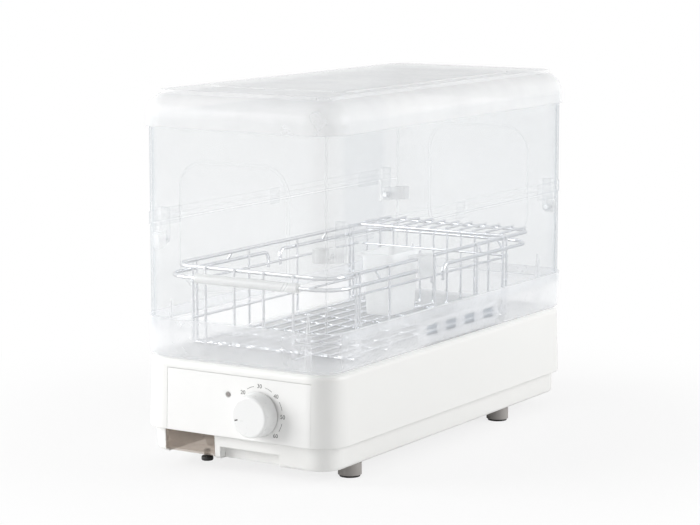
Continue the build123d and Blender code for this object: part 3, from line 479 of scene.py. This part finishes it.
# Print and ring
def flat_text(name, words, size, rise):
    """Printed characters as a thin mesh lying in its own plane."""
    curve = bpy.data.curves.new(name, "FONT")
    curve.body = words
    curve.size = size
    curve.align_x = "CENTER"
    curve.align_y = "CENTER"
    curve.extrude = rise / 2
    curve.resolution_u = 6
    holder = bpy.data.objects.new(name, curve)
    bpy.context.scene.collection.objects.link(holder)
    bpy.context.view_layer.update()
    graph = bpy.context.evaluated_depsgraph_get()
    mesh = bpy.data.meshes.new_from_object(holder.evaluated_get(graph))
    bpy.data.objects.remove(holder)
    bpy.data.curves.remove(curve)
    return mesh


def arc_strip(radius, width, start, end, steps, rise):
    """Thin curved bar in its own plane."""
    work = bmesh.new()
    rows = []
    for count in range(steps + 1):
        angle = start + (end - start) * count / steps
        ray = Vector((math.cos(angle), math.sin(angle), 0.0))
        rows.append([work.verts.new(ray * r + Vector((0, 0, z)))
                     for r, z in ((radius - width / 2, 0.0), (radius + width / 2, 0.0),
                                  (radius + width / 2, rise), (radius - width / 2, rise))])
    for near, far in zip(rows, rows[1:]):
        for side in range(4):
            nxt = (side + 1) % 4
            work.faces.new((near[side], far[side], far[nxt], near[nxt]))
    work.faces.new(rows[0])
    work.faces.new(list(reversed(rows[-1])))
    bmesh.ops.recalc_face_normals(work, faces=work.faces)
    mesh = bpy.data.meshes.new("arc")
    work.to_mesh(mesh)
    work.free()
    return mesh


# Operators
class DRYER_OT_shell(bpy.types.Operator):
    """Finish the white base, its bottom, the control panel and the intake grille"""
    bl_idname = "dryer.shell"
    bl_label = "Base shell"

    def execute(self, context):
        tints = context.scene.dryer_finishes
        white = moulded("shell_white", tints.shell, rough=0.34)
        finish_nodes(white, "base_housing", "screw_posts", "base_bottom", "drain_bay", "intake_grille")
        finish_nodes(moulded("panel_white", tints.panel, rough=0.38, bump=0.03), "control_panel")
        # The feet's grey is partly painted shade from under the base
        finish_nodes(moulded("foot_grey_painted_shade", tints.foot_with_painted_shade, rough=0.5), "feet")
        finish_nodes(rubber("pad_rubber", tints.rubber), "foot_pads")
        finish_nodes(metal("screw_steel", tints.screw, rough=0.32), "case_screws")
        finish_nodes(moulded("bushing_grey", tints.bushing, rough=0.5), "cord_bushing")
        return {"FINISHED"}


class DRYER_OT_timer(bpy.types.Operator):
    """Finish the timer knob and print the minutes round it"""
    bl_idname = "dryer.timer"
    bl_label = "Timer dial"

    def execute(self, context):
        tints = context.scene.dryer_finishes
        dial = context.scene.dryer_dial
        finish_nodes(moulded("knob_white", tints.knob, rough=0.3, bump=0.02, coat=0.1), "timer_knob")
        ink = moulded("dial_ink", tints.ink, rough=0.6, bump=0.02)
        knob = box_middle("timer_knob")
        seat = front_seat(knob.x, knob.z, dial.flare, dial.ink_rise / 2)
        for count in range(dial.count):
            angle = dial.start - dial.turn * count
            mesh = flat_text("minutes", str(dial.first + dial.step * count), dial.size, dial.ink_rise)
            shift = Vector((math.cos(angle), math.sin(angle), 0.0)) * dial.radius
            mesh.transform(seat @ Matrix.Translation(shift))
            place_piece(f"minute_mark_{count + 1}", mesh, ink, "base")
        for count in range(dial.count - 1):
            middle = dial.start - dial.turn * (count + 0.5)
            mesh = arc_strip(dial.radius, dial.line, middle - dial.arc_half, middle + dial.arc_half,
                             steps=12, rise=dial.ink_rise)
            mesh.transform(seat)
            place_piece(f"minute_arc_{count + 1}", mesh, ink, "base")
        mark = arc_strip(dial.mark_radius, dial.mark_length, dial.mark_start, dial.mark_end,
                         steps=4, rise=dial.ink_rise)
        front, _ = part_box("timer_knob")
        upright = Matrix.Rotation(math.radians(90), 4, "X")
        mark.transform(Matrix.Translation((knob.x, front.y, knob.z)) @ upright)
        place_piece("knob_pointer", mark, ink, "timer")
        return {"FINISHED"}


class DRYER_OT_lamp(bpy.types.Operator):
    """Finish the power lamp and give it a ring"""
    bl_idname = "dryer.lamp"
    bl_label = "Power lamp"

    def execute(self, context):
        tints = context.scene.dryer_finishes
        dial = context.scene.dryer_dial
        smoky = clear_plastic("lamp_lens", tints.lens, haze=0.8, rim_haze=0.1, rough=0.15,
                              through=(0.7, 0.6, 0.5), grazing_painted_shade=(0.5, 0.45, 0.4))
        finish_nodes(smoky, "lamp_lens")
        glass = clear_plastic("lamp_glass", tints.lamp, haze=0.3, rim_haze=0.4, rough=0.05,
                              through=(0.95, 0.9, 0.85), grazing_painted_shade=(0.7, 0.66, 0.6))
        finish_nodes(glass, "power_lamp")
        lens = box_middle("lamp_lens")
        ring = arc_strip(dial.ring_radius, dial.ring_width, 0.0, RING_TURN, steps=40, rise=dial.ring_rise)
        ring.transform(front_seat(lens.x, lens.z, dial.flare, 0.0))
        grey = moulded("lamp_ring_grey", tints.ring, rough=0.4)
        place_piece("lamp_ring", ring, grey, "base")
        return {"FINISHED"}


class DRYER_OT_drain(bpy.types.Operator):
    """Finish the smoky drain cup, its plug and the pipe"""
    bl_idname = "dryer.drain"
    bl_label = "Drain cup"

    def execute(self, context):
        tints = context.scene.dryer_finishes
        # The cup's brown is partly smoke tint and partly painted shade of its shadowed bay
        smoky = clear_plastic("smoky_cup_and_painted_shade", tints.smoke_and_painted_shade, haze=0.26, rim_haze=0.2, rough=0.12,
                              through=(0.96, 0.94, 0.92), grazing_painted_shade=(0.84, 0.80, 0.76), glow=0.3, painted_edge_lines=0.2)
        finish_nodes(smoky, "drain_cup")
        finish_nodes(rubber("plug_rubber", tints.rubber), "drain_plug")
        finish_nodes(moulded("pipe_white", tints.pipe, rough=0.45), "drain_pipe")
        return {"FINISHED"}


class DRYER_OT_tray(bpy.types.Operator):
    """Finish the frosted drip tray and the air hood in it"""
    bl_idname = "dryer.tray"
    bl_label = "Drip tray"

    def execute(self, context):
        tints = context.scene.dryer_finishes
        tray = clear_plastic("frosted_tray", tints.frost, haze=0.25, rim_haze=0.25, rough=0.3,
                             through=(0.992, 0.993, 0.995), grazing_painted_shade=(0.93, 0.94, 0.955),
                             glow=0.55, painted_edge_lines=0.3)
        finish_nodes(tray, "drip_tray")
        hood = clear_plastic("frosted_hood", tints.frost, haze=0.5, rim_haze=0.2, rough=0.3,
                             through=(0.97, 0.975, 0.98), grazing_painted_shade=(0.88, 0.90, 0.92), glow=0.4)
        finish_nodes(hood, "air_hood")
        louvres = context.scene.dryer_louvres
        grey = moulded("louvre_grey", tints.louvre, rough=0.5)
        low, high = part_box("air_hood")
        pitch = (high.y - low.y) / louvres.count
        width = pitch * louvres.window_share
        middle_x = box_middle("air_hood").x
        for count in range(louvres.count):
            middle_y = low.y + pitch * (count + 0.5)
            mesh = bar_row(middle_x, middle_y, width, low.z + louvres.rise, louvres)
            place_piece(f"louvre_mesh_{count + 1}", mesh, grey, "tray")
        return {"FINISHED"}


class DRYER_OT_walls(bpy.types.Operator):
    """Finish the clear walls and their white corner sockets"""
    bl_idname = "dryer.walls"
    bl_label = "Clear walls"

    def execute(self, context):
        tints = context.scene.dryer_finishes
        clear = clear_sheet("clear_wall", tints.clear)
        finish_nodes(clear, "front_panel", "rear_panel", "left_wall", "right_wall")
        socket = clear_plastic("socket_milky", tints.socket, haze=0.4, rim_haze=0.15, rough=0.35,
                               through=(0.985, 0.985, 0.985), grazing_painted_shade=(0.90, 0.91, 0.92), glow=0.5)
        finish_nodes(socket, "hinge_sockets")
        return {"FINISHED"}


class DRYER_OT_lid(bpy.types.Operator):
    """Finish the lid cap, its sides, grips, catches and pins"""
    bl_idname = "dryer.lid"
    bl_label = "Lid"

    def execute(self, context):
        tints = context.scene.dryer_finishes
        finish_nodes(clear_sheet("lid_side_clear", tints.clear), "lid_right_side", "lid_left_side")
        milky = clear_plastic("cap_milky", tints.cap, haze=0.26, rim_haze=0.3, rough=0.14,
                              through=CLEAR_THROUGH, grazing_painted_shade=(0.95, 0.958, 0.966), glow=0.4)
        finish_nodes(milky, "lid_cap", "cap_ribs")
        grip = clear_plastic("grip_clear", tints.clear, haze=0.10, rim_haze=0.15, rough=0.1,
                             through=CLEAR_THROUGH, grazing_painted_shade=(0.86, 0.88, 0.90))
        finish_nodes(grip, "lid_grips", "lid_catches")
        finish_nodes(metal("pin_steel", tints.pin, rough=0.3), "hinge_pins")
        return {"FINISHED"}


class DRYER_OT_rack(bpy.types.Operator):
    """Finish the plated wire rack and its white grip"""
    bl_idname = "dryer.rack"
    bl_label = "Wire rack"

    def execute(self, context):
        tints = context.scene.dryer_finishes
        plated = metal("wire_chrome", tints.chrome, rough=0.1)
        finish_nodes(plated, "rack_upper_rim", "rack_front_loop", "rack_rear_loop", "rack_right_grid",
                     "rack_left_grid", "rack_front_grid", "rack_rear_grid", "rack_floor", "rack_links",
                     "cup_shelf")
        finish_nodes(moulded("grip_white", tints.grip, rough=0.3), "handle_grip")
        return {"FINISHED"}


class DRYER_OT_cutlery(bpy.types.Operator):
    """Finish the translucent cutlery cup"""
    bl_idname = "dryer.cutlery"
    bl_label = "Cutlery cup"

    def execute(self, context):
        tints = context.scene.dryer_finishes
        white = clear_plastic("cutlery_white", tints.cup, haze=0.55, rim_haze=0.2, rough=0.3,
                              through=(0.985, 0.985, 0.985), grazing_painted_shade=(0.93, 0.935, 0.94), glow=0.55)
        finish_nodes(white, "cutlery_cup")
        return {"FINISHED"}


class DRYER_OT_insides(bpy.types.Operator):
    """Finish the fan, motor, heater and wiring inside the base"""
    bl_idname = "dryer.insides"
    bl_label = "Insides"

    def execute(self, context):
        tints = context.scene.dryer_finishes
        dark = moulded("dark_moulding", tints.dark, rough=0.5)
        finish_nodes(dark, "timer_case", "terminal_block", "fan_wheel", "fan_scroll")
        steel = metal("motor_steel", tints.motor, rough=0.35, bump=0.1)
        finish_nodes(steel, "fan_motor", "motor_bracket", "motor_screws", "motor_spindle", "timer_shaft")
        alloy = metal("heater_alloy", tints.heater, rough=0.4, bump=0.2)
        finish_nodes(alloy, "heater_element", "thermostat", "thermal_fuse")
        finish_nodes(foam("filter_foam", tints.foam), "intake_filter")
        return {"FINISHED"}


class DRYER_OT_stage(bpy.types.Operator):
    """Set the floor, the studio light and the camera"""
    bl_idname = "dryer.stage"
    bl_label = "Stage"

    def execute(self, context):
        scene = context.scene
        stage = scene.dryer_stage
        scene.view_settings.view_transform = "Standard"
        scene.cycles.transparent_max_bounces = CLEAR_LAYERS
        self.backdrop(scene, stage)
        self.floor(scene, stage)
        self.lamps(scene, stage)
        camera = bpy.data.cameras.new("camera")
        camera.lens = stage.lens
        camera.sensor_width = SENSOR_WIDTH
        camera.sensor_fit = "HORIZONTAL"
        holder = bpy.data.objects.new("camera", camera)
        scene.collection.objects.link(holder)
        aim(holder, stage.camera, stage.target)
        scene.camera = holder
        return {"FINISHED"}

    def backdrop(self, scene, stage):
        """White where it is seen or mirrored, plain soft sky light elsewhere."""
        world = bpy.data.worlds.new("studio")
        world.use_nodes = True
        tree = world.node_tree
        tree.nodes.clear()
        output = add(tree, "ShaderNodeOutputWorld")
        white = add(tree, "ShaderNodeBackground")
        white.inputs["Color"].default_value = (1.0, 1.0, 1.0, 1.0)
        white.inputs["Strength"].default_value = 1.0
        dome = add(tree, "ShaderNodeBackground")
        place = add(tree, "ShaderNodeTexCoord")
        split = add(tree, "ShaderNodeSeparateXYZ")
        link(tree, place.outputs["Generated"], split.inputs[0])
        ramp = add(tree, "ShaderNodeMapRange")
        ramp.inputs["From Min"].default_value = 0.0
        ramp.inputs["From Max"].default_value = DOME_RISE
        ramp.inputs["To Min"].default_value = stage.dome_low
        ramp.inputs["To Max"].default_value = stage.dome_high
        link(tree, split.outputs["Z"], ramp.inputs["Value"])
        link(tree, ramp.outputs["Result"], dome.inputs["Strength"])
        seen, path = background_rays(tree)
        mirrored = add(tree, "ShaderNodeMath", operation="MAXIMUM")
        link(tree, seen, mirrored.inputs[0])
        link(tree, path.outputs["Is Glossy Ray"], mirrored.inputs[1])
        mix = add(tree, "ShaderNodeMixShader")
        link(tree, mirrored.outputs[0], mix.inputs[0])
        link(tree, dome.outputs[0], mix.inputs[1])
        link(tree, white.outputs[0], mix.inputs[2])
        link(tree, mix.outputs[0], output.inputs["Surface"])
        scene.world = world

    def floor(self, scene, stage):
        """Pale floor that keeps the shadow near the dryer and fades to plain white."""
        material = bpy.data.materials.new("floor_white")
        material.use_nodes = True
        tree = material.node_tree
        tree.nodes.clear()
        output = add(tree, "ShaderNodeOutputMaterial")
        paper = add(tree, "ShaderNodeBsdfDiffuse")
        tone = blend(tree, grain(tree, PAPER_CLOUDS), (0.86, 0.86, 0.86), (0.88, 0.88, 0.88))
        link(tree, tone, paper.inputs["Color"])
        glow = add(tree, "ShaderNodeEmission")
        seen, _ = background_rays(tree)
        place = add(tree, "ShaderNodeTexCoord")
        reach = add(tree, "ShaderNodeVectorMath", operation="LENGTH")
        link(tree, place.outputs["Object"], reach.inputs[0])
        fade = add(tree, "ShaderNodeMapRange", interpolation_type="SMOOTHSTEP")
        fade.inputs["From Min"].default_value = stage.fade_start
        fade.inputs["From Max"].default_value = stage.fade_end
        fade.inputs["To Min"].default_value = stage.fade_white
        fade.inputs["To Max"].default_value = 1.0
        link(tree, reach.outputs["Value"], fade.inputs["Value"])
        share = add(tree, "ShaderNodeMath", operation="MULTIPLY")
        link(tree, seen, share.inputs[0])
        link(tree, fade.outputs["Result"], share.inputs[1])
        mix = add(tree, "ShaderNodeMixShader")
        link(tree, share.outputs[0], mix.inputs[0])
        link(tree, paper.outputs[0], mix.inputs[1])
        link(tree, glow.outputs[0], mix.inputs[2])
        link(tree, mix.outputs[0], output.inputs["Surface"])
        mesh = bpy.data.meshes.new("floor")
        signs = ((-1, -1), (1, -1), (1, 1), (-1, 1))
        corners = [(x * stage.floor_reach, y * stage.floor_reach, 0) for x, y in signs]
        mesh.from_pydata(corners, [], [(0, 1, 2, 3)])
        mesh.materials.append(material)
        floor = bpy.data.objects.new("floor", mesh)
        scene.collection.objects.link(floor)

    def lamps(self, scene, stage):
        """A softbox on either side."""
        for name, place, power in (("softbox_left", stage.left_lamp, stage.left_power),
                                   ("softbox_right", stage.right_lamp, stage.right_power)):
            lamp = bpy.data.lights.new(name, "AREA")
            lamp.energy = power
            lamp.size = stage.lamp_size
            holder = bpy.data.objects.new(name, lamp)
            scene.collection.objects.link(holder)
            aim(holder, place, (0.0, 0.0, stage.lamp_aim))


operators = (DRYER_OT_shell, DRYER_OT_timer, DRYER_OT_lamp, DRYER_OT_drain, DRYER_OT_tray, DRYER_OT_walls,
             DRYER_OT_lid, DRYER_OT_rack, DRYER_OT_cutlery, DRYER_OT_insides, DRYER_OT_stage)

groups = (("dryer_finishes", DryerFinishes), ("dryer_dial", DryerDial), ("dryer_louvres", DryerLouvres),
          ("dryer_stage", DryerStage))


class DRYER_PT_looks(bpy.types.Panel):
    """Lists the dish dryer's pieces and their settings"""
    bl_idname = "DRYER_PT_looks"
    bl_label = "Dish dryer"
    bl_space_type = "VIEW_3D"
    bl_region_type = "UI"
    bl_category = "Dish dryer"

    def draw(self, context):
        column = self.layout.column()
        for operator in operators:
            column.operator(operator.bl_idname)
        for name, _ in groups:
            group = getattr(context.scene, name)
            box = self.layout.box()
            for key in group.bl_rna.properties.keys():
                if key not in ("rna_type", "name"):
                    box.prop(group, key)


def register():
    for name, group in groups:
        bpy.utils.register_class(group)
        setattr(bpy.types.Scene, name, PointerProperty(type=group))
    for operator in operators:
        bpy.utils.register_class(operator)
    bpy.utils.register_class(DRYER_PT_looks)


def unregister():
    bpy.utils.unregister_class(DRYER_PT_looks)
    for operator in reversed(operators):
        bpy.utils.unregister_class(operator)
    for name, group in reversed(groups):
        delattr(bpy.types.Scene, name)
        bpy.utils.unregister_class(group)


def main():
    register()
    for operator in operators:
        family, name = operator.bl_idname.split(".")
        getattr(getattr(bpy.ops, family), name)()


if __name__ == "__main__":
    main()
